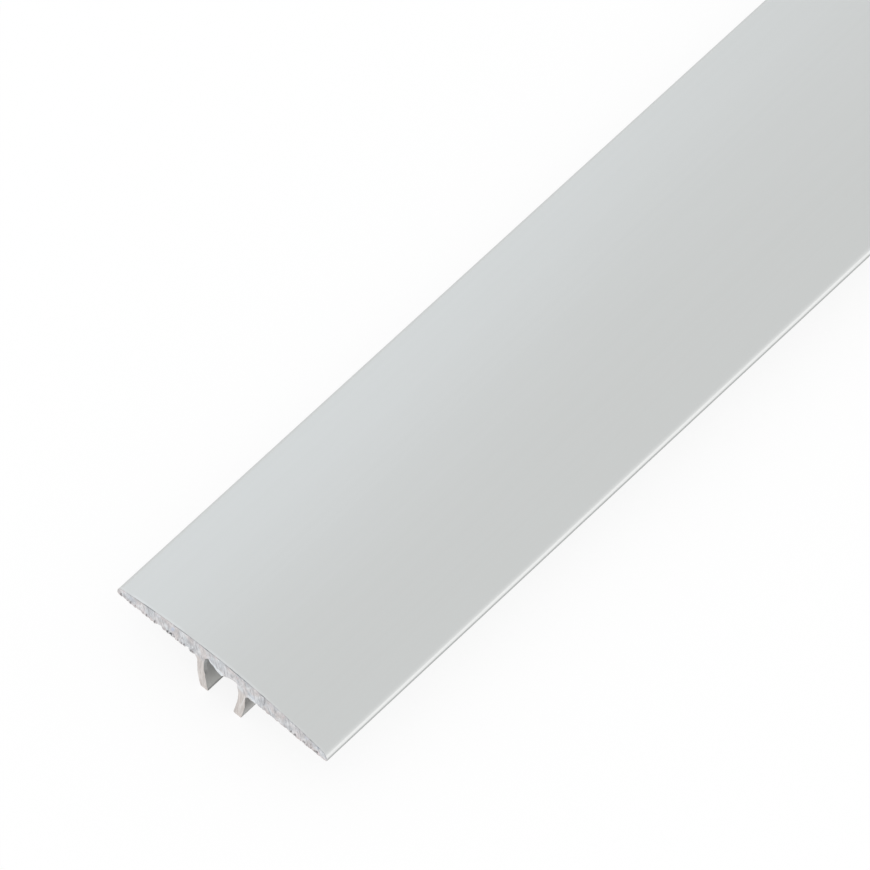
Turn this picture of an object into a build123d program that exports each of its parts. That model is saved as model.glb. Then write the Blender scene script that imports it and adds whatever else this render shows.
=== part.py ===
"""Floor joining strip: one length of extruded aluminium that covers the joint between two floors.

The length runs along X and the width along Y. The strip stands on the soles of its two legs,
at Z = 0, and its crowned plate is on top.
"""

import os
from math import floor, sqrt

from build123d import *

os.makedirs("parts", exist_ok=True)

# Overall sizes, in millimetres
strip_length = 900.0
strip_width = 40.0

# Crowned plate, its thickness taken from the flat underside of the wings
crown_thickness = 4.2
edge_thickness = 1.7
nose_radius = 1.35
lower_edge_radius = 0.3

# Two legs under the middle, which hold the fixing plugs between them
leg_drop = 6.8
leg_wall = 1.45
channel_width = 6.4
mouth_width = 4.8
knee_height = 4.6
knee_radius = 12.0
outer_root_radius = 0.6
foot_corner_radius = 0.2

# Roof of the channel, recessed into the plate, with a shallow ridge along its middle
roof_recess = 1.65
ridge_height = 1.15
roof_corner_radius = 0.4
ridge_radius = 0.3

# Fine V-shaped grooves that make the underside of both wings grip
groove_depth = 0.25
groove_pitch = 0.8
land_beside_leg = 0.9
land_beside_edge = 0.9

# Levels and half widths that follow from the sizes above
wing_level = leg_drop
crown_level = wing_level + crown_thickness
edge_level = wing_level + edge_thickness
roof_level = wing_level + roof_recess
ridge_level = roof_level - ridge_height
half_width = strip_width / 2
leg_outside = channel_width / 2 + leg_wall

# Plate: a flat underside, upright edges and one wide arc over the top
with BuildSketch() as plate_profile:
    with BuildLine():
        ThreePointArc((-half_width, edge_level), (0, crown_level), (half_width, edge_level))
        Polyline(
            (half_width, edge_level),
            (half_width, wing_level),
            (-half_width, wing_level),
            (-half_width, edge_level),
        )
    make_face()
    fillet(plate_profile.vertices().group_by(Axis.Y)[-1], nose_radius)
    fillet(plate_profile.vertices().group_by(Axis.Y)[0], lower_edge_radius)

# Channel between the legs: it narrows towards its mouth, and its roof has the ridge
with BuildSketch() as channel_profile:
    with BuildLine():
        FilletPolyline(
            (-mouth_width / 2, 0),
            (-channel_width / 2, knee_height),
            (-channel_width / 2, roof_level),
            (0, ridge_level),
            (channel_width / 2, roof_level),
            (channel_width / 2, knee_height),
            (mouth_width / 2, 0),
            radius=(0, knee_radius, roof_corner_radius, ridge_radius, roof_corner_radius, knee_radius, 0),
            close=True,
        )
    make_face()

# Legs: an even wall round the channel, cut off level at the soles
with BuildSketch() as legs_profile:
    add(channel_profile.sketch)
    offset(amount=leg_wall, kind=Kind.INTERSECTION)
    with Locations((0, wing_level / 2)):
        Rectangle(strip_width, wing_level, mode=Mode.INTERSECT)

# Grooves of one wing, evenly spaced between the plain lands at the leg and at the edge
wing_inner = leg_outside + land_beside_leg
wing_outer = half_width - land_beside_edge
wing_middle = (wing_inner + wing_outer) / 2
grooves_per_wing = floor((wing_outer - wing_inner - 2 * groove_depth) / groove_pitch) + 1
groove_side = groove_depth * sqrt(2)

# The strip: one section, extruded to both sides of the middle
with BuildPart() as joining_strip:
    with BuildSketch(Plane.YZ) as section:
        add(plate_profile.sketch)
        add(legs_profile.sketch)
        add(channel_profile.sketch, mode=Mode.SUBTRACT)
        root_corners = section.vertices().filter_by(
            lambda v: abs(abs(v.X) - leg_outside) < 0.01 and abs(v.Y - wing_level) < 0.01
        )
        fillet(root_corners, outer_root_radius)
        fillet(section.vertices().group_by(Axis.Y)[0], foot_corner_radius)
        for wing_side in (-1, 1):
            with Locations((wing_side * wing_middle, wing_level)):
                with GridLocations(groove_pitch, 0, grooves_per_wing, 1):
                    Rectangle(groove_side, groove_side, rotation=45, mode=Mode.SUBTRACT)
    extrude(amount=strip_length / 2, both=True)
joining_strip.part.label = "joining_strip"
export_step(joining_strip.part, "parts/joining_strip.step")
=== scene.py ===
# %% [markdown]
# # A floor joining strip in satin aluminium
# This lesson dresses one length of extruded aluminium that covers the joint between two floors. The strip
# is a single piece: a crowned plate with a finely grooved underside, and two legs below it that turn
# inwards and hold the fixing plugs. The shape comes from the CAD frame. What Blender adds is the look:
# the satin anodised skin, the bare metal of the sawn ends, and the ragged edge that the saw left.

from math import asin, atan2, cos, pi, radians, sin, sqrt, tan

import bmesh
import bpy
from mathutils import Matrix, Vector, noise


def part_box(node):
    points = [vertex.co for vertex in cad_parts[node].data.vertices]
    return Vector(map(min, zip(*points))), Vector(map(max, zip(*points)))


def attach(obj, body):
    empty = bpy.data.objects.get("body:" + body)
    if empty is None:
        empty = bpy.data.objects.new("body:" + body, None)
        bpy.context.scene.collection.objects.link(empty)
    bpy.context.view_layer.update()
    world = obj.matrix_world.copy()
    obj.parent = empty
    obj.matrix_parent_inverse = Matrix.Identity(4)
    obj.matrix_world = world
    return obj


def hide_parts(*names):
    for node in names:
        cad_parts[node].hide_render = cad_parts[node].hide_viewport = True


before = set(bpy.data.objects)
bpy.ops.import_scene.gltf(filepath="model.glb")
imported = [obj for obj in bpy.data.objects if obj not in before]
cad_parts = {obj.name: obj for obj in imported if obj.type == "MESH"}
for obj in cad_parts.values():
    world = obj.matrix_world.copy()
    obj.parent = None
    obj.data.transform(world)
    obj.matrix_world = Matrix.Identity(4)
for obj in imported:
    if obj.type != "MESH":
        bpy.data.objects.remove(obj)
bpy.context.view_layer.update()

# %% [markdown]
# ## Sizes
# The overall sizes are read from the frame, so the dressed strip is as long, wide and high as the solid.
# The rest are the sizes of the extrusion's section, in metres.

# %% Overall sizes
MM = 0.001
low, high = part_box("joining_strip")
half_length = (high.x - low.x) / 2
half_width = (high.y - low.y) / 2
crown_level = high.z
print("half length", round(half_length, 4), "m, half width", round(half_width, 4), "m")
print("height", round(crown_level, 4), "m")

# %% Sizes of the section
crown_thickness = 4.2 * MM
edge_thickness = 1.7 * MM
nose_radius = 1.35 * MM
lower_edge_radius = 0.3 * MM
leg_wall = 1.45 * MM
half_channel = 3.2 * MM
half_mouth = 2.4 * MM
knee_level = 4.6 * MM
knee_radius = 12.0 * MM
outer_root_radius = 0.6 * MM
foot_corner_radius = 0.2 * MM
roof_recess = 1.65 * MM
ridge_height = 1.15 * MM
roof_corner_radius = 0.4 * MM
ridge_radius = 0.3 * MM
groove_depth = 0.25 * MM
groove_pitch = 0.8 * MM
groove_land = 0.9 * MM
wing_level = crown_level - crown_thickness
edge_level = wing_level + edge_thickness
roof_level = wing_level + roof_recess
ridge_level = roof_level - ridge_height
print("wings at", round(wing_level, 5), "roof at", round(roof_level, 5), "ridge at", round(ridge_level, 5))

# %% [markdown]
# ## Drawing the section like a pen stroke
# An extrusion is one outline pushed through a die, so the outline comes first. It could be typed in as a
# long list of points, but a list says nothing about the shape. Here a pen draws it instead: a straight
# stretch is a vertex extruded to its next place, and each round corner or arc is a spin of the last
# vertex about its centre. Half of the outline is drawn, and a mirror gives the rest.

# %% The pen
crown_step = radians(0.3)
nose_step = radians(6)
corner_step = radians(12)


def point(y, z):
    """A point of the section, which stands in the plane across the strip's length."""
    return Vector((0.0, y, z))


def pen(bm):
    """The vertex drawn last."""
    bm.verts.ensure_lookup_table()
    return bm.verts[-1]


def draw_to(bm, place):
    """Extrudes the pen's vertex to a new place."""
    made = bmesh.ops.extrude_vert_indiv(bm, verts=[pen(bm)])
    made["verts"][0].co = place


def steps_for(angle, step):
    """How many straight pieces stand for an arc, so that each turns by about one step."""
    return max(2, int(abs(angle) / step + 0.5))


def draw_arc(bm, centre, angle, step):
    """Spins the pen's vertex about a centre; a positive angle turns from +Y towards +Z."""
    steps = steps_for(angle, step)
    bmesh.ops.spin(bm, geom=[pen(bm)], cent=centre, axis=(1, 0, 0), angle=angle, steps=steps)


def draw_corner(bm, corner, after, radius, share=1.0):
    """A straight towards a corner and a rounding there, or the first share of the rounding."""
    back = (pen(bm).co - corner).normalized()
    ahead = (after - corner).normalized()
    half_inside = back.angle(ahead) / 2
    draw_to(bm, corner + back * (radius / tan(half_inside)))
    centre = corner + (back + ahead).normalized() * (radius / sin(half_inside))
    turn = 1 if back.cross(ahead).x < 0 else -1
    draw_arc(bm, centre, turn * (pi - 2 * half_inside) * share, corner_step)


print("a rounding of half a turn is drawn in", steps_for(pi, corner_step), "steps")

# %% [markdown]
# The crown is a wide arc and the nose a small one that meets it without a kink, so both centres follow
# from the plate's thickness in the middle and at the edge.

# %% Centres and angles of the outline
rise = crown_level - edge_level
crown_radius = (half_width**2 + rise**2) / (2 * rise)
crown_centre = point(0, crown_level - crown_radius)
nose_y = half_width - nose_radius
nose_centre = point(nose_y, crown_centre.z + sqrt((crown_radius - nose_radius) ** 2 - nose_y**2))
crown_angle = asin(nose_y / (crown_radius - nose_radius))
knee_turn = atan2(half_channel - half_mouth, knee_level)
leg_outside = half_channel + leg_wall
outer_knee = point(leg_outside, knee_level - leg_wall * tan(knee_turn / 2))
outer_foot = point(outer_knee.y - outer_knee.z * tan(knee_turn), 0)
print("crown radius", round(crown_radius / MM, 2), "mm")
print("outer corner of the foot at", round(outer_foot.y / MM, 3), "mm")

# %% [markdown]
# The underside of each wing has fine grooves, so that the strip grips what it lies on. They are drawn in
# the same stroke as the rest, as corners without a rounding, because the die cuts them in one pass too.

# %% The grooves of one wing
wing_inner = leg_outside + groove_land
wing_outer = half_width - groove_land
wing_middle = (wing_inner + wing_outer) / 2
groove_count = int((wing_outer - wing_inner - 2 * groove_depth) / groove_pitch) + 1
groove_middles = [wing_middle + groove_pitch * (i - (groove_count - 1) / 2) for i in range(groove_count)]
groove_corners = [
    point(middle + side * groove_depth, wing_level + groove_depth * (side == 0))
    for middle in reversed(groove_middles)
    for side in (1, 0, -1)
]
print(groove_count, "grooves, the last one", round(groove_middles[-1] / MM, 2), "mm from the middle")

# %% [markdown]
# The pen starts on top of the crown and goes round by the nose, the grooves, the leg and the roof of the
# channel. It stops halfway round the ridge, where the mirrored half takes over.

# %% Half of the outline
outline = bmesh.new()
outline.verts.new(point(0, crown_level))
draw_arc(outline, crown_centre, -crown_angle, crown_step)
draw_arc(outline, nose_centre, -(pi / 2 - crown_angle), nose_step)
corners = [
    (point(half_width, wing_level), lower_edge_radius),
    *[(corner, 0) for corner in groove_corners],
    (point(leg_outside, wing_level), outer_root_radius),
    (outer_knee, knee_radius + leg_wall),
    (outer_foot, foot_corner_radius),
    (point(half_mouth, 0), foot_corner_radius),
    (point(half_channel, knee_level), knee_radius),
    (point(half_channel, roof_level), roof_corner_radius),
    (point(0, ridge_level), ridge_radius),
    (point(-half_channel, roof_level), 0),
]
for (corner, radius), (after, _) in zip(corners, corners[1:]):
    draw_corner(outline, corner, after, radius, share=0.5 if corner.y == 0 else 1.0)
print("half outline", len(outline.verts), "vertices")
print("last at", [round(v / MM, 3) for v in pen(outline).co], "mm")

# %% [markdown]
# ## From the outline to the bar
# The mirror closes the outline, and one call fills it with a single many-sided face. The saw's marks need
# points to move, so that face is cut into a fine net before it is extruded. A bisect keeps the outline
# exact, which a remesh wouldn't, and the cuts run across the plate first, while there are few faces.

# %% The closed outline
weld_distance = 1e-6
half_outline = outline.verts[:] + outline.edges[:]
bmesh.ops.mirror(outline, geom=half_outline, matrix=Matrix.Identity(4), merge_dist=weld_distance, axis="Y")
bmesh.ops.remove_doubles(outline, verts=outline.verts[:], dist=weld_distance)
bmesh.ops.contextual_create(outline, geom=outline.edges[:])
section_area = sum(face.calc_area() for face in outline.faces)
print("outline", len(outline.verts), "vertices,", round(section_area / MM**2, 2), "square millimetres")

# %% The section as a fine net
net_pitch = 0.12 * MM
slice_tolerance = 1e-7


def slice_at(bm, place, direction):
    """Cuts every face where a plane passes."""
    whole = bm.verts[:] + bm.edges[:] + bm.faces[:]
    bmesh.ops.bisect_plane(bm, geom=whole, dist=slice_tolerance, plane_co=place, plane_no=direction)


slices_across = int(half_width / net_pitch)
slices_up = int(crown_level / net_pitch)
for i in range(-slices_across, slices_across + 1):
    slice_at(outline, point((i + 0.5) * net_pitch, 0), (0, 1, 0))
for i in range(slices_up + 1):
    slice_at(outline, point(0, (i + 0.5) * net_pitch), (0, 0, 1))
print("section", len(outline.faces), "faces")

# %% [markdown]
# The net is extruded over the whole length. The long sides need no points in the middle, because nothing
# bends there. Close to both ends they are sliced into rings, which come nearer and nearer together, so that
# the burrs that hang from the cut are thin.

# %% The bar and its rings
ring_depths = [0.05, 0.1, 0.16, 0.24, 0.35, 0.5, 0.8, 1.5]
strip = outline
bmesh.ops.translate(strip, verts=strip.verts[:], vec=(-half_length, 0, 0))
pushed = bmesh.ops.extrude_face_region(strip, geom=strip.faces[:])
pushed_verts = [item for item in pushed["geom"] if isinstance(item, bmesh.types.BMVert)]
bmesh.ops.translate(strip, verts=pushed_verts, vec=(2 * half_length, 0, 0))
for depth in ring_depths:
    for end in (-1, 1):
        slice_at(strip, (end * (half_length - depth * MM), 0, 0), (1, 0, 0))
bmesh.ops.recalc_face_normals(strip, faces=strip.faces[:])
print("bar", len(strip.faces), "faces, volume", round(strip.calc_volume() / MM**3), "cubic millimetres")

# %% [markdown]
# ## What the saw left
# Aluminium is soft and a saw doesn't leave it clean. The teeth leave slanted marks over the cut, they tear
# small crumbs out of the groove crests at the lower edge, and they push thin burrs out over the edges. Bump
# could draw the marks, but not a ragged edge, so the points of the net are moved. A few numbers are kept on
# each point while it moves: how much burr it is, how torn it is and how much shade is painted there, how
# dark the painted shadow in the gap under the top edge is, and how tinted or streaked the metal is. The
# material reads them later. All that the saw did is written in millimetres, because its numbers are
# fractions of one.

# %% How the saw's marks run
near_seed = 3
far_seed = 11
mark_slant = radians(14)
mark_relief = 0.02


def noise_at(y, z, y_waves, z_waves, seed):
    """Smooth noise over the section, from -1 to 1, with its own waves a millimetre along each axis."""
    return noise.noise(Vector((y * y_waves + seed, z * z_waves, seed * 1.7)))


def mark_depth(y, z, seed):
    """How deep the saw's marks are at a place on the cut: long along the stroke and fine across it."""
    across = y * cos(mark_slant) + z * sin(mark_slant)
    along = z * cos(mark_slant) - y * sin(mark_slant)
    coarse = noise_at(across, along, 1.1, 0.15, seed)
    fine = noise_at(across, along, 3.2, 0.35, seed + 5)
    return (1 + 0.6 * coarse + 0.5 * fine) * mark_relief


print("marks up to", round(max(mark_depth(i, 0, near_seed) for i in range(40)), 3), "mm deep")

# %% [markdown]
# Two small curves shape all the harm: a ramp, which is straight, and a bell, which is soft on both sides.
# Several bells side by side make an uneven edge out of a few numbers.

# %% Ramps and bells
def ramp(value, start, end):
    """Zero at start, one at end, and straight between them; start may be the larger."""
    return min(1, max(0, (value - start) / (end - start)))


def bell(value, middle, spread):
    """One at the middle, and fading to nothing over about twice the spread."""
    return 2.718 ** (-(((value - middle) / spread) ** 2))


def several_bells(y, bells):
    """The sum of bells across the strip; each place has a height and a spread."""
    return sum(height * bell(y, middle, spread) for middle, (height, spread) in bells.items())


print("a bell is", round(bell(1, 0, 1), 2), "at its spread and", round(bell(2, 0, 1), 2), "at twice that")

# %% [markdown]
# The lower edge of the cut follows the flat wings, the round roots of the legs and the sloping roof of the
# channel. How far a point is above that edge decides how much of the tearing it takes part in.

# %% The lower edge of the cut
nose_face = half_width / MM
leg_face = leg_outside / MM
channel_face = half_channel / MM
wing_underside = wing_level / MM
ridge_underside = ridge_level / MM
roof_slope = (roof_level - ridge_level) / half_channel


def underside_level(y):
    """The level of the plate's underside at a place across the strip."""
    if abs(y) < channel_face:
        return ridge_underside + roof_slope * abs(y)
    return wing_underside


print("the underside is at", round(underside_level(0), 2), "and", round(underside_level(10), 2), "mm")

# %% [markdown]
# Where the saw did its worst is listed as places across the strip, each with a height and a spread: spots
# that are torn and painted dark with the shade in them, chips that are gone from the lower edge, drips of
# smeared metal that hang from it, and gaps under the top edge, whose shade is painted. Places to the left of
# the middle are positive, as the near end is seen. The far end is a plainer cut, with marks and crumbs but
# none of this harm.

# %% Where the cut is torn
torn_and_shaded_spots = {
    19.36: (0.65, 0.17),
    18.6: (0.35, 0.13),
    18.0: (0.35, 0.15),
    17.5: (0.6, 0.2),
    16.62: (0.5, 0.15),
    15.05: (0.45, 0.14),
    14.45: (0.65, 0.15),
    13.85: (0.35, 0.16),
    12.9: (0.7, 0.15),
    11.1: (0.35, 0.16),
    10.45: (0.85, 0.18),
    9.8: (1.7, 0.18),
    9.15: (0.5, 0.13),
    8.45: (0.6, 0.12),
    7.75: (0.45, 0.13),
    7.3: (0.7, 0.14),
    5.98: (0.7, 0.15),
    5.65: (0.6, 0.14),
    5.35: (0.45, 0.12),
    -7.85: (0.25, 0.15),
    -8.8: (0.3, 0.2),
    -10.6: (0.3, 0.15),
    -12.0: (0.3, 0.15),
    -13.12: (0.7, 0.17),
    -13.88: (0.65, 0.22),
    -14.9: (0.25, 0.15),
    -15.6: (0.5, 0.28),
    -16.15: (0.5, 0.13),
    -16.5: (0.4, 0.14),
    -16.95: (0.5, 0.14),
    -17.6: (0.4, 0.15),
    -17.98: (0.75, 0.22),
}
print(len(torn_and_shaded_spots), "torn spots")

# %% Where the lower edge is chipped, and where it drips
chips = {
    19.0: (0.35, 0.12),
    18.4: (0.22, 0.12),
    15.7: (0.22, 0.4),
    12.1: (0.35, 0.35),
    11.65: (0.5, 0.22),
    6.8: (0.5, 0.2),
    6.45: (0.9, 0.16),
    5.15: (0.3, 0.15),
    -6.7: (0.3, 0.16),
    -8.3: (0.12, 0.2),
    -9.7: (0.12, 0.3),
    -11.0: (0.12, 0.2),
    -12.5: (0.12, 0.25),
    -13.42: (0.3, 0.1),
    -15.2: (0.22, 0.14),
}
drips = {
    19.4: (0.15, 0.12),
    17.5: (0.15, 0.2),
    14.5: (0.2, 0.15),
    12.98: (0.4, 0.13),
    10.45: (0.2, 0.14),
    9.75: (0.35, 0.14),
    6.0: (0.6, 0.12),
    5.75: (0.25, 0.12),
    -13.05: (0.15, 0.13),
    -13.95: (0.3, 0.15),
    -16.3: (0.25, 0.2),
    -17.95: (0.4, 0.18),
}
print(len(chips), "chips and", len(drips), "drips")

# %% Where the shade of a gap is painted under the top edge
arris_gap_shadows = {
    16.0: (0.25, 0.25),
    14.3: (0.7, 0.8),
    13.1: (0.4, 0.4),
    8.9: (0.5, 0.3),
    7.6: (0.55, 0.65),
    6.8: (0.45, 0.3),
    6.0: (0.3, 0.25),
    3.9: (0.25, 0.3),
    3.0: (0.8, 0.5),
    2.1: (0.4, 0.4),
    0.6: (0.5, 0.35),
    -1.85: (0.9, 0.6),
    -3.1: (0.75, 0.6),
    -4.2: (0.7, 0.45),
    -5.1: (0.3, 0.4),
    -7.6: (1.2, 0.26),
    -8.0: (0.3, 0.25),
    -13.2: (0.3, 0.25),
    -14.0: (0.3, 0.3),
    -15.6: (0.35, 0.25),
    -16.9: (0.6, 0.35),
    -18.3: (0.5, 0.35),
    -19.1: (0.3, 0.25),
}
print(len(arris_gap_shadows), "gaps")

# %% [markdown]
# Smeared metal takes on a faint colour where the blade rubbed it hot, so a few patches of the cut are blue
# and a few are rose. Other teeth left single streaks that are paler or darker than the rest. Both are listed
# in the same way: a place across and a level, a spread across and up, and a strength. It is positive for
# blue and for pale, and negative for rose and for dark. All of them lean the way the teeth went.

# %% Where the cut is tinted and streaked
tinted_patches = [
    (9.4, 9.0, 0.36, 0.8, 0.85),
    (12.3, 9.2, 0.45, 0.5, 0.35),
    (17.3, 8.3, 0.8, 0.7, 0.35),
    (2.3, 9.0, 0.5, 0.4, 0.45),
    (-5.9, 8.0, 0.6, 0.6, 0.4),
    (-9.1, 9.6, 0.35, 0.6, 0.4),
    (-16.1, 8.7, 0.5, 0.5, 0.45),
    (-18.3, 8.8, 0.25, 0.5, 0.75),
    (18.8, 8.4, 0.4, 0.4, -0.6),
    (15.0, 7.6, 0.5, 0.4, -0.4),
    (-2.9, 9.8, 0.3, 0.6, -0.6),
    (-0.9, 9.2, 0.4, 0.5, -0.3),
    (-11.7, 9.4, 0.25, 0.9, -0.5),
    (-14.3, 8.0, 0.8, 0.5, -0.4),
    (-18.3, 7.4, 0.3, 0.25, -0.9),
]
streaks = [
    (15.5, 8.3, 0.18, 0.7, 0.8),
    (10.9, 8.4, 0.2, 0.8, 0.8),
    (6.5, 8.2, 0.3, 0.5, 0.7),
    (1.3, 9.6, 0.4, 0.8, 0.5),
    (-3.7, 8.6, 0.12, 1.3, 0.8),
    (-4.15, 4.6, 0.1, 2.2, 0.9),
    (-7.2, 9.6, 0.14, 0.6, 0.8),
    (-9.7, 8.0, 0.2, 0.4, 0.5),
    (-12.5, 8.3, 0.35, 0.8, 0.8),
    (-15.9, 8.3, 0.15, 0.7, 0.5),
    (7.65, 8.6, 0.13, 0.6, -0.7),
    (8.2, 8.1, 0.12, 0.5, -0.6),
    (5.55, 7.9, 0.16, 0.5, -0.8),
    (14.0, 8.6, 0.14, 0.6, -0.5),
    (-2.1, 9.2, 0.12, 0.7, -0.6),
    (-10.1, 8.6, 0.15, 1.0, -0.5),
    (-16.85, 7.9, 0.13, 0.35, -1.0),
]
streak_lean = 0.3


def several_patches(y, z, patches):
    """The sum of leaning patches at a place on the cut."""
    return sum(
        strength * bell(y + streak_lean * (z - level), middle, wide) * bell(z, level, tall)
        for middle, level, wide, tall, strength in patches
    )


print(len(tinted_patches), "tinted patches and", len(streaks), "single streaks")

# %% [markdown]
# Along the wings the lower edge is uneven in three ways. Smeared metal closes the mouths of the grooves,
# crumbs leave it wavy, and chips are gone from it. A chip goes deepest into the bar, because what broke off
# was a crumb of the whole corner. Nothing of this reaches the legs or the noses. The torn places, and one
# crack that runs up through the right wing, are sunk a little and painted dark with the shade in them.

# %% Crumbs, chips and torn places
smear_reach = 0.3
crumb_reach = 0.25
chip_reach = 0.75


def tear_edge(y, z, depth, seed, harm):
    """How far a point near the lower edge is moved up or down by crumbs, chips and smears."""
    above = z - underside_level(y)
    on_wing = ramp(abs(y), leg_face + 0.1, leg_face + 0.5) * ramp(abs(y), nose_face - 0.25, nose_face - 0.85)
    if above < -0.4 or on_wing == 0:
        return 0
    smear = (0.45 + 0.5 * noise_at(y, 0, 0.9, 0, seed)) * bell(depth, 0, smear_reach) * bell(above, 0, 0.3)
    sunk = 0.20 * ramp(abs(y), 11.5, 14.0)
    crumbs = 0.06 - sunk + 0.12 * noise_at(y, 0, 1.1, 0, seed) + 0.10 * noise_at(y, 0, 3.4, 0, seed + 2)
    crumbs = crumbs * bell(above, 0, 0.5) * bell(depth, 0, crumb_reach)
    chip = several_bells(y, chips) * ramp(above, 1.9, 0) * ramp(depth, chip_reach, 0)
    return (crumbs + chip * harm - max(0, above) * smear) * on_wing


def torn_and_shade_share(y, z, seed, harm):
    """How torn a place on the cut is, and so how much shade is painted there: in spots along the lower edge,
    in its rim and in one crack.
    """
    above = z - underside_level(y)
    on_wing = abs(y) > leg_face + 0.2
    spots = several_bells(y + streak_lean * (above - 0.35), torn_and_shaded_spots) * bell(above, 0.38, 0.40)
    rim = (0.12 + 0.45 * noise_at(y, 0, 1.9, 0, seed + 7)) * bell(above, 0.05, 0.14)
    crack_place = -8.1 + 0.12 * (9.6 - z) ** 2
    crack = bell(y, crack_place, 0.11) * (7.9 < z < 10.5) * (0.42 + 0.1 * (z - 8))
    return min(1, max(0, (spots * harm + rim) * on_wing + crack * harm))


deepest_chip = tear_edge(6.45, wing_underside, 0, near_seed, 1)
print("at the deepest chip the edge is", round(deepest_chip, 2), "mm higher")

# %% [markdown]
# A burr is thin, so it only takes the points nearest to the cut with it. One hangs from the channel's roof,
# to the left of its ridge, and the drips hang from the wings. The burr's metal is smeared smooth and shines
# pale, and so does a patch beside the right leg.

# %% Burrs and drips
burr_reach = 0.09


def hang_burr(y, z, depth):
    """How far a point near the lower edge hangs down, in the roof's burr or in a drip."""
    above = z - underside_level(y)
    if above < -0.1:
        return 0
    roof = 0.34 * ramp(y, 1.5, 1.0) * ramp(y, -0.4, 0)
    hanging = roof + several_bells(y, drips) * (abs(y) > leg_face)
    return hanging * bell(above, 0, 0.4) * bell(depth, 0, burr_reach)


def burr_share(y, z):
    """How much of a burr's pale metal shows at a place on the cut."""
    above = z - underside_level(y)
    roof = ramp(y, -0.5, -0.2) * ramp(y, 2.7, 2.3) * (-0.5 < above) * ramp(above, 0.80, 0.10)
    beside_leg = bell(y, -5.6, 0.8) * bell(z, wing_underside + 0.3, 0.6)
    return min(1, roof + beside_leg)


print("the roof's burr hangs", round(hang_burr(0.5, underside_level(0.5), 0), 2), "mm down")

# %% [markdown]
# The blade took the thin legs a little to the left with it. At the cut some of their faces stand about a
# quarter of a millimetre further left than behind it, and the roof of the channel is opened beside the burr
# and in its left corner. Both fade within half a millimetre of the cut.

# %% Pushed legs and opened roof
push_reach = 0.5
roof_lifts = {2.6: (0.45, 0.3), -1.7: (0.29, 0.85)}


def push_leg(y, z, depth):
    """How far a point of a leg is pushed to the left by the blade."""
    if y > 2:
        inner_face = 0.22 * ramp(z, 3.9, 4.7) * ramp(z, 7.7, 6.9) * ramp(y, 4.5, 3.3)
        push = inner_face + 0.11 * ramp(z, 4.2, 3.2) * ramp(z, 0.2, 1.0)
    elif y < -2:
        outer_face = 0.16 * ramp(z, 3.7, 4.8) * ramp(z, 7.0, 6.4) * ramp(y, -3.6, -4.5)
        push = outer_face + 0.28 * bell(z, 7.6, 0.9) * ramp(y, -4.3, -3.4) * ramp(y, -2.6, -3.0)
    else:
        push = 0
    return push * ramp(depth, push_reach, 0)


def lift_roof(y, z, depth):
    """How far a point near the channel's roof is lifted beside the burr and in the left corner."""
    above = z - underside_level(y)
    if abs(y) > channel_face or above < -0.6:
        return 0
    return several_bells(y, roof_lifts) * ramp(above, 1.5, 0) * ramp(depth, push_reach, 0)


print("the left leg is pushed", round(push_leg(channel_face, 5.5, 0), 2), "mm")

# %% [markdown]
# Now the points of both ends are moved. Everything is kept on the inner side of the solid's own box, and a
# last pass takes off the rounding errors of the drawing, which are far thinner than the anodised layer.

# %% Move the points of both ends
burr_layer = strip.verts.layers.float.new("burr")
torn_and_shade_layer = strip.verts.layers.float.new("torn_and_shade")
gap_shadow_layer = strip.verts.layers.float.new("gap_shadow")
tint_layer = strip.verts.layers.float.new("tint")
streak_layer = strip.verts.layers.float.new("streak")
moved_depth = 0.8
cut_tolerance = 0.001
torn_depth = 0.15
least_gap_shadow = 0.26
for vert in strip.verts:
    x, y, z = [value / MM for value in vert.co]
    depth = half_length / MM - abs(x)
    if depth > moved_depth:
        continue
    inwards, harm, seed = (1, 1, near_seed) if x < 0 else (-1, 0, far_seed)
    if depth < cut_tolerance:
        vert[torn_and_shade_layer] = torn_and_shade_share(y, z, seed, harm)
        vert[gap_shadow_layer] = min(1, least_gap_shadow + several_bells(y, arris_gap_shadows) * harm)
        vert[tint_layer] = several_patches(y, z, tinted_patches) * harm
        vert[streak_layer] = several_patches(y, z, streaks) * harm
        vert.co.x += inwards * (mark_depth(y, z, seed) + torn_depth * vert[torn_and_shade_layer]) * MM
    vert[burr_layer] = burr_share(y, z) * harm
    vert.co.y += push_leg(y, z, depth) * harm * MM
    lift = (lift_roof(y, z, depth) - hang_burr(y, z, depth)) * harm
    vert.co.z += (tear_edge(y, z, depth, seed, harm) + lift) * MM
for vert in strip.verts:
    vert.co.y = min(high.y, max(low.y, vert.co.y))
print("most torn", round(max(vert[torn_and_shade_layer] for vert in strip.verts), 2))

# %% [markdown]
# ## One piece with two finishes
# The anodised skin came before the saw, so it covers the long sides only, and the cuts are bare metal. Both
# are on one piece, because the real strip is one: the faces of the cuts take the second material slot.

# %% The finished piece
faces_the_end = 0.6
sharp_angle = radians(32)
strip_mesh = bpy.data.meshes.new("aluminium_strip")
for face in strip.faces:
    face.smooth = True
    face.material_index = 1 if abs(face.normal.x) > faces_the_end else 0
strip.to_mesh(strip_mesh)
strip.free()
strip_mesh.set_sharp_from_angle(angle=sharp_angle)
aluminium_strip = bpy.data.objects.new("aluminium_strip", strip_mesh)
bpy.context.scene.collection.objects.link(aluminium_strip)
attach(aluminium_strip, "root")
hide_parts("joining_strip")
triangles = sum(len(polygon.vertices) - 2 for polygon in strip_mesh.polygons)
print("piece", len(strip_mesh.vertices), "vertices,", triangles, "triangles")

# %% [markdown]
# ## Writing a finish as sums
# A material is a net of nodes, and a net is hard to read in code. So a small class wraps one socket: adding
# or multiplying two of these adds the Math node, and one method adds every other kind of node.

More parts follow.
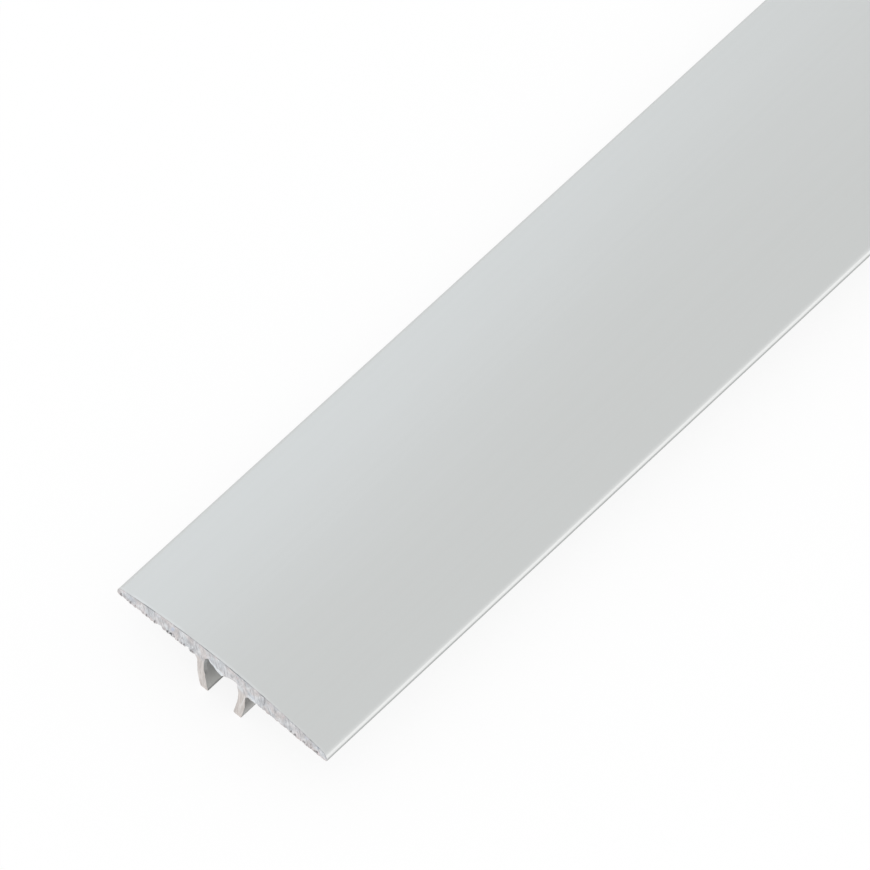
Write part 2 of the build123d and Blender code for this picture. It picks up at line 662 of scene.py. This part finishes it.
# %% The socket class
class Signal:
    """A socket of a finish. Sums on signals add Math nodes, and node() adds any other."""

    def __init__(self, tree, socket=None):
        self.tree = tree
        self.socket = socket

    def node(self, kind, settings=None, values=None, output=0):
        """Adds a node: its settings first, then the values or links of its sockets."""
        made = self.tree.nodes.new(kind)
        for name, setting in (settings or {}).items():
            setattr(made, name, setting)
        for name, value in (values or {}).items():
            if isinstance(value, Signal):
                self.tree.links.new(value.socket, made.inputs[name])
            else:
                made.inputs[name].default_value = value
        return Signal(self.tree, made.outputs[output] if made.outputs else None)

    def maths(self, operation, first, second=0.0):
        """Adds a Math node for two numbers or signals."""
        return self.node("ShaderNodeMath", {"operation": operation}, {0: first, 1: second})

    def __add__(self, other):
        return self.maths("ADD", self, other)

    def __sub__(self, other):
        return self.maths("SUBTRACT", self, other)

    def __rsub__(self, other):
        return self.maths("SUBTRACT", other, self)

    def __mul__(self, other):
        return self.maths("MULTIPLY", self, other)

    def __pow__(self, other):
        return self.maths("POWER", self, other)

    def __abs__(self):
        return self.maths("ABSOLUTE", self)

    __radd__ = __add__
    __rmul__ = __mul__

    def rises(self, start, end, first=0.0, last=1.0):
        """A smooth step between two values, from 0 at start to 1 at end where nothing else is said."""
        values = {"Value": self, "From Min": start, "From Max": end, "To Min": first, "To Max": last}
        return self.node("ShaderNodeMapRange", {"interpolation_type": "SMOOTHSTEP"}, values)

    def falls(self, start, end):
        """A smooth step from 1 at start to 0 at end."""
        return self.rises(start, end, 1.0, 0.0)

    def mix(self, first, second):
        """Two colours mixed by this signal."""
        settings = {"data_type": "RGBA", "blend_type": "MIX"}
        return self.node("ShaderNodeMix", settings, {0: self, 6: first, 7: second}, output=2)


print("finishes are written with", Signal.__name__)

# %% [markdown]
# Three short functions begin a finish, give it a stretched noise and end it with its shader. The noise takes
# a number of waves a metre for each axis, so one function makes long die lines as well as a fine grain.

# %% Begin a finish, stretch a grain, end a finish
def begin_finish(name):
    """A new material, with a signal to start from, its object coordinates and their three parts."""
    material = bpy.data.materials.new(name)
    material.use_nodes = True
    material.node_tree.nodes.clear()
    start = Signal(material.node_tree)
    place = start.node("ShaderNodeTexCoord", output="Object")
    parts = [start.node("ShaderNodeSeparateXYZ", None, {0: place}, output=axis) for axis in "XYZ"]
    return material, start, place, parts


def grain(start, place, waves, turn=0.0, detail=2.0, roughness=0.5):
    """Noise over the piece, with its own number of waves a metre along each axis."""
    turned = start.node("ShaderNodeMapping", None, {"Vector": place, "Rotation": (turn, 0, 0)})
    stretched = start.node("ShaderNodeVectorMath", {"operation": "MULTIPLY"}, {0: turned, 1: waves})
    values = {"Vector": stretched, "Scale": 1.0, "Detail": detail, "Roughness": roughness}
    return start.node("ShaderNodeTexNoise", None, values)


def end_finish(start, values):
    """Closes the finish with its shader and the material's output."""
    shader = start.node("ShaderNodeBsdfPrincipled", None, values)
    start.node("ShaderNodeOutputMaterial", None, {"Surface": shader}, output=None)


print("a finish begins with", begin_finish.__name__, "and ends with", end_finish.__name__)

# %% [markdown]
# ## The anodised skin
# Satin anodising leaves aluminium pale grey and soft: before the bath it is etched, so it reflects in a wide
# glow and not as a mirror. A metal with a middling roughness gives that. Under the etch lie faint lines from
# the die, long in X and fine across it, and a grain too small to see from afar. The bath takes unevenly, so
# the grey drifts a little. Painted shade darkens the legs and the channel's roof near the plate, the legs
# more so on their outer sides, and it darkens the nose's lower flank, the soles of the legs and everything
# under the wings beside each cut. A painted highlight brightens the nose along its upper half, and a thin
# pale rim follows the top of each cut, partly the saw's rub and partly a painted highlight.

# %% Patterns and places of the skin
skin, start, place, (x, y, z) = begin_finish("anodised_aluminium_skin")
die_lines = grain(start, place, (1.5, 1400.0, 1400.0), detail=3.0)
etch = grain(start, place, (4200.0, 4200.0, 4200.0))
drift = grain(start, place, (9.0, 45.0, 45.0), detail=3.0)
broken = grain(start, place, (20.0, 260.0, 20.0), detail=1.0)
from_middle = abs(y)
from_end = half_length - abs(x)
below = z.falls(wing_level - 1.2 * MM, wing_level + 0.4 * MM)
# Painted shade: the legs' upper parts and the channel's roof are darkened where the plate shades them.
painted_under_plate_shade = z.rises(5.2 * MM, 6.8 * MM) * z.falls(8.6 * MM, 9.6 * MM)
painted_under_plate_shade = painted_under_plate_shade * from_middle.falls(5.2 * MM, 6.5 * MM)
beside_cut = from_end.falls(0.15 * MM, 0.55 * MM)
print("the skin has", len(skin.node_tree.nodes), "nodes for its patterns and places")

# %% Painted highlight and shade of the skin, and the rim beside the cut
nose_top = nose_centre.z + nose_radius
# Painted highlight: a bright band along the nose's upper half, where the right lamp's highlight falls.
painted_nose_highlight = z.falls(nose_top - 0.76 * MM, nose_top - 0.48 * MM)
painted_nose_highlight = painted_nose_highlight * z.rises(nose_centre.z + 0.12 * MM, nose_centre.z + 0.3 * MM)
painted_nose_highlight = painted_nose_highlight * from_middle.rises(half_width - 0.9 * MM, half_width - 0.6 * MM)
# Painted shade: the nose's flank below its middle is darkened, as the shaded floor beside the strip shows in
# it.
painted_flank_shade = z.falls(nose_centre.z - 0.1 * MM, nose_centre.z + 0.1 * MM)
painted_flank_shade = painted_flank_shade * from_middle.rises(half_width - 0.3 * MM, half_width - 0.1 * MM)
# Painted shade: the soles of the legs are darkened, where shade falls against the floor.
painted_sole_shade = z.falls(0.3 * MM, 0.7 * MM)
# The pale rim beside each cut is partly the saw's rub and partly a painted highlight on the burr's lip.
cut_rim_rub_and_highlight = beside_cut * broken.rises(0.3, 0.6) * (1 - below)
print("the nose's upper half is between", round(nose_centre.z / MM, 2), "and", round(nose_top / MM, 2), "mm")

# %% Colours of the skin
grey = (drift * 0.7 + die_lines * 0.3).mix((0.575, 0.589, 0.580, 1), (0.625, 0.638, 0.635, 1))
# Painted shade: the legs grow darker towards the plate, where it and the wings shade them, and more on their
# outer sides.
inner_leg_painted_shade = z.rises(0.5 * MM, 5.5 * MM).mix((0.59, 0.59, 0.57, 1), (0.44, 0.44, 0.43, 1))
outer_leg_painted_shade = z.rises(-0.5 * MM, 5.0 * MM).mix((0.64, 0.63, 0.61, 1), (0.27, 0.26, 0.25, 1))
leg_painted_shade = from_middle.rises(3.4 * MM, 3.9 * MM).mix(inner_leg_painted_shade, outer_leg_painted_shade)
skin_colour = (below * 0.9).mix(grey, leg_painted_shade)
# Painted light and shade over the skin: under the plate, on the nose, at the soles, partly at the rim, and
# beside the cut.
skin_colour = (painted_under_plate_shade * 0.45).mix(skin_colour, (0.25, 0.26, 0.26, 1))
skin_colour = (painted_nose_highlight * 0.95).mix(skin_colour, (0.86, 0.87, 0.86, 1))
skin_colour = (painted_flank_shade * 0.8).mix(skin_colour, (0.44, 0.45, 0.44, 1))
skin_colour = (painted_sole_shade * 0.65).mix(skin_colour, (0.20, 0.20, 0.20, 1))
skin_colour = (cut_rim_rub_and_highlight * 0.3).mix(skin_colour, (0.76, 0.78, 0.79, 1))
# Painted shade: everything under the wings is darker within half a millimetre of each cut.
skin_colour = (below * beside_cut * 0.2).mix(skin_colour, (0.18, 0.18, 0.18, 1))
print("the skin has", len(skin.node_tree.nodes), "nodes with its colours")

# %% Shader of the skin
skin_roughness = 0.40 + etch * 0.05 + drift * 0.04 + below * 0.05
skin_height = etch * 0.7 + die_lines * 0.3
skin_relief = start.node(
    "ShaderNodeBump", None, {"Height": skin_height, "Strength": 0.12, "Distance": 0.02 * MM}
)
end_finish(
    start,
    {"Base Color": skin_colour, "Metallic": 1.0, "Roughness": skin_roughness, "Normal": skin_relief},
)
aluminium_strip.data.materials.append(skin)
print("skin", len(skin.node_tree.nodes), "nodes")

# %% [markdown]
# ## The bare cut
# A fresh cut shows the metal itself. Each tooth smears it a little differently, so the cut is patchy: warm
# beige, cold lavender and a trace of blue, crossed by slanted marks. On the thin legs the marks are upright
# and finer, and the metal is warmer. The lower rim has a touch of rose.

# %% Patterns of the cut
cut, start, place, (_, y, z) = begin_finish("sawn_aluminium")
marks = grain(start, place, (100.0, 2300.0, 330.0), turn=mark_slant, detail=3.0, roughness=0.65)
fine_marks = grain(start, place, (100.0, 5200.0, 800.0), turn=mark_slant, roughness=0.7)
patches = grain(start, place, (60.0, 520.0, 380.0), turn=mark_slant)
smears = grain(start, place, (40.0, 900.0, 520.0), turn=-0.4)
speckle = grain(start, place, (100.0, 2600.0, 1500.0), turn=mark_slant, detail=1.0)
leg_marks = grain(start, place, (100.0, 4200.0, 260.0), roughness=0.7)
on_leg = z.falls(wing_level - 0.4 * MM, wing_level + 0.9 * MM) * abs(y).falls(4.9 * MM, 5.3 * MM)
lower_rim = z.falls(wing_level + 0.15 * MM, wing_level + 0.6 * MM) * (1 - on_leg)
print("the cut has", len(cut.node_tree.nodes), "nodes for its patterns")

# %% Colours of the cut
leg_colour = leg_marks.rises(0.36, 0.66).mix((0.66, 0.61, 0.575, 1), (0.86, 0.81, 0.775, 1))
cut_colour = patches.rises(0.38, 0.62).mix((0.735, 0.695, 0.685, 1), (0.695, 0.722, 0.745, 1))
cut_colour = (speckle.rises(0.50, 0.68) * 0.5).mix(cut_colour, (0.82, 0.80, 0.83, 1))
cut_colour = (smears.falls(0.36, 0.50) * 0.30).mix(cut_colour, (0.44, 0.44, 0.45, 1))
cut_colour = (smears.rises(0.50, 0.64) * 0.5).mix(cut_colour, (0.90, 0.905, 0.91, 1))
dark_marks = marks.falls(0.36, 0.50) * patches.rises(0.30, 0.55)
cut_colour = (dark_marks * 0.5).mix(cut_colour, (0.34, 0.33, 0.35, 1))
cut_colour = (fine_marks.falls(0.36, 0.50) * 0.45).mix(cut_colour, (0.38, 0.37, 0.39, 1))
cut_colour = (on_leg * 0.8).mix(cut_colour, leg_colour)
cut_colour = (lower_rim * 0.5).mix(cut_colour, (0.70, 0.62, 0.61, 1))
print("the cut has", len(cut.node_tree.nodes), "nodes with its colours")

# %% [markdown]
# The numbers on the points come last. They lay the tints and streaks over the cut, make the burrs pale and
# paint the torn crumbs dark with the shade in them, and say how strong a thin painted shadow line is. It
# runs under the top edge, where a burr is pushed up and the gap behind it opens and closes, and it is the
# shade in that gap.

# %% What the numbers on the points change
burr, torn_and_shade, gap_shadow, tint, streak = [
    start.node("ShaderNodeAttribute", {"attribute_name": name}, output="Fac")
    for name in ("burr", "torn_and_shade", "gap_shadow", "tint", "streak")
]
from_centre = ((z - crown_centre.z) ** 2 + y * y) ** 0.5
crown_depth = crown_radius - from_centre
# Painted shadow: a thin dark line under the top edge of the cut, the shade in the gap behind a burr.
painted_arris_shadow = crown_depth.falls(0.18 * MM, 0.38 * MM) * gap_shadow * (fine_marks.rises(0.28, 0.50) * 0.5 + 0.5)
burr_shine = burr.rises(0.05, 0.6) * (speckle.rises(0.35, 0.60) * 0.45 + 0.5)
cut_colour = (streak.rises(0.0, 1.0) * 0.75).mix(cut_colour, (0.88, 0.885, 0.89, 1))
cut_colour = (streak.falls(-1.0, 0.0) * 0.7).mix(cut_colour, (0.36, 0.34, 0.35, 1))
cut_colour = (tint.rises(0.0, 1.0) * 0.7).mix(cut_colour, (0.57, 0.65, 0.80, 1))
cut_colour = (tint.falls(-1.0, 0.0) * 0.6).mix(cut_colour, (0.82, 0.66, 0.66, 1))
cut_colour = burr_shine.mix(cut_colour, (0.88, 0.92, 0.95, 1))
# The painted shadow under the top edge of the cut.
cut_colour = (painted_arris_shadow * 0.9).mix(cut_colour, (0.20, 0.22, 0.23, 1))
# Painted shade in the torn pits, along the lower rim and in the crack.
cut_colour = (torn_and_shade.rises(0.08, 0.75) * 0.9).mix(cut_colour, (0.13, 0.12, 0.13, 1))
print("the cut has", len(cut.node_tree.nodes), "nodes with its harm")

# %% Shader of the cut
cut_roughness = marks * 0.15 + 0.42
cut_height = marks * 0.6 + fine_marks * 0.4
scratches = start.node(
    "ShaderNodeBump", None, {"Height": cut_height, "Strength": 0.4, "Distance": 0.05 * MM}
)
end_finish(
    start,
    {"Base Color": cut_colour, "Metallic": 1.0, "Roughness": cut_roughness, "Normal": scratches},
)
aluminium_strip.data.materials.append(cut)
print("cut", len(cut.node_tree.nodes), "nodes")

# %% [markdown]
# ## Floor and background
# The floor is a wide pale sheet under a white world. Lit by that world alone it would render as a pale grey,
# and the strip's shadow on it would be heavy. So the camera sees mostly plain white and only a share of the
# lit floor, which leaves a faint shadow. Gloss sees about half of each, because a metal shows the floor too.

# %% Finish of the floor
def seen_directly(start, camera, reflected):
    """How white a ray finds the background: from the camera, or in gloss and through glass."""
    kinds = {"Is Camera Ray": camera, "Is Glossy Ray": reflected, "Is Transmission Ray": reflected}
    first, second, third = [start.node("ShaderNodeLightPath", output=kind) * kinds[kind] for kind in kinds]
    return first.maths("MAXIMUM", first.maths("MAXIMUM", first, second), third)


floor_finish, start, _, _ = begin_finish("pale_floor")
pale = start.node("ShaderNodeBsdfDiffuse", None, {"Color": (0.97, 0.97, 0.97, 1)})
white = start.node("ShaderNodeEmission", None, {"Color": (1, 1, 1, 1), "Strength": 1.0})
share = seen_directly(start, camera=0.88, reflected=0.45)
mixed = start.node("ShaderNodeMixShader", None, {0: share, 1: pale, 2: white})
start.node("ShaderNodeOutputMaterial", None, {"Surface": mixed})
print("floor finish", len(floor_finish.node_tree.nodes), "nodes")

# %% Floor
floor_net = bmesh.new()
bmesh.ops.create_circle(floor_net, cap_ends=True, segments=64, radius=6.0)
floor_mesh = bpy.data.meshes.new("studio_floor")
floor_net.to_mesh(floor_mesh)
floor_net.free()
floor_mesh.materials.append(floor_finish)
studio_floor = bpy.data.objects.new("studio_floor", floor_mesh)
bpy.context.scene.collection.objects.link(studio_floor)
print("floor", round(studio_floor.dimensions.x, 2), "m across")

# %% World
world = bpy.data.worlds.new("white_studio")
world.use_nodes = True
world.node_tree.nodes.clear()
start = Signal(world.node_tree)
background = start.node("ShaderNodeBackground", None, {"Color": (1, 1, 1, 1), "Strength": 1.0})
start.node("ShaderNodeOutputWorld", None, {"Surface": background})
bpy.context.scene.world = world
bpy.context.scene.view_settings.view_transform = "Standard"
print("world of", len(world.node_tree.nodes), "nodes")

# %% [markdown]
# ## Lamps
# Three soft lamps shape the strip. One hangs behind the near end on the left, where the crown's far half
# reflects it, and its cool glow fades along the strip. Two long ones stand low on either side and show only
# in the rounded noses: the right one is strong and, with the highlight painted on the nose, makes the bright
# line that runs along the right edge.

# %% Lamps
def soft_lamp(name, aim, direction, distance, size, radiance, colour):
    """An area lamp that looks at a point from a direction; radiance is how bright its face is."""
    width, height = size
    lamp = bpy.data.lights.new(name, "AREA")
    lamp.shape = "RECTANGLE"
    lamp.size = width
    lamp.size_y = height
    lamp.energy = radiance * pi * width * height
    lamp.color = colour
    holder = bpy.data.objects.new(name, lamp)
    bpy.context.scene.collection.objects.link(holder)
    holder.location = Vector(aim) + Vector(direction).normalized() * distance
    holder.rotation_euler = Vector(direction).to_track_quat("Z", "Y").to_euler()
    holder.visible_camera = False
    print(name, [round(v, 2) for v in holder.location])


near_stretch = (-half_length + 0.1, 0, 0)
long_and_low = (1.0, 0.16)
soft_lamp(
    "left_lamp",
    aim=(-half_length, 0, wing_level),
    direction=(0.34, 0.70, 0.62),
    distance=0.55,
    size=(0.34, 0.34),
    radiance=0.31,
    colour=(0.77, 0.87, 1.0),
)
soft_lamp(
    "back_lamp",
    aim=near_stretch,
    direction=(0.41, 0.90, 0.12),
    distance=1.2,
    size=long_and_low,
    radiance=0.4,
    colour=(1.0, 1.0, 1.0),
)
soft_lamp(
    "nose_lamp",
    aim=near_stretch,
    direction=(0.41, -0.90, 0.12),
    distance=1.2,
    size=long_and_low,
    radiance=1.0,
    colour=(1.0, 1.0, 0.99),
)

# %% [markdown]
# ## Camera
# The camera stands high over the near end and looks along the strip, with a long lens, so that the edges
# run almost parallel. Its place is given by two angles, a roll and a distance from the middle of the cut,
# and two small offsets bring the cut to its place in the frame.

# %% Which way the camera looks
azimuth = radians(-51.027)
elevation = radians(58.062)
roll = radians(3.836)
forward = Vector((-sin(azimuth) * cos(elevation), cos(azimuth) * cos(elevation), -sin(elevation)))
level_right = forward.cross(Vector((0, 0, 1))).normalized()
level_up = level_right.cross(forward)
right = level_right * cos(roll) + level_up * sin(roll)
up = level_up * cos(roll) - level_right * sin(roll)
print("the camera looks along", [round(v, 3) for v in forward])

# %% Camera
distance = 1488.64 * MM
offset_right = -29.855 * MM
offset_up = -33.766 * MM
cut_middle = Vector((-half_length, 0, 7 * MM))
camera_data = bpy.data.cameras.new("camera")
camera_data.lens = 440.3
camera_data.sensor_width = 36.0
camera_data.clip_end = 50.0
camera = bpy.data.objects.new("camera", camera_data)
bpy.context.scene.collection.objects.link(camera)
camera.location = cut_middle - forward * distance - right * offset_right - up * offset_up
camera.rotation_euler = Matrix((right, up, -forward)).transposed().to_euler()
bpy.context.scene.camera = camera
print("camera at", [round(v, 3) for v in camera.location])
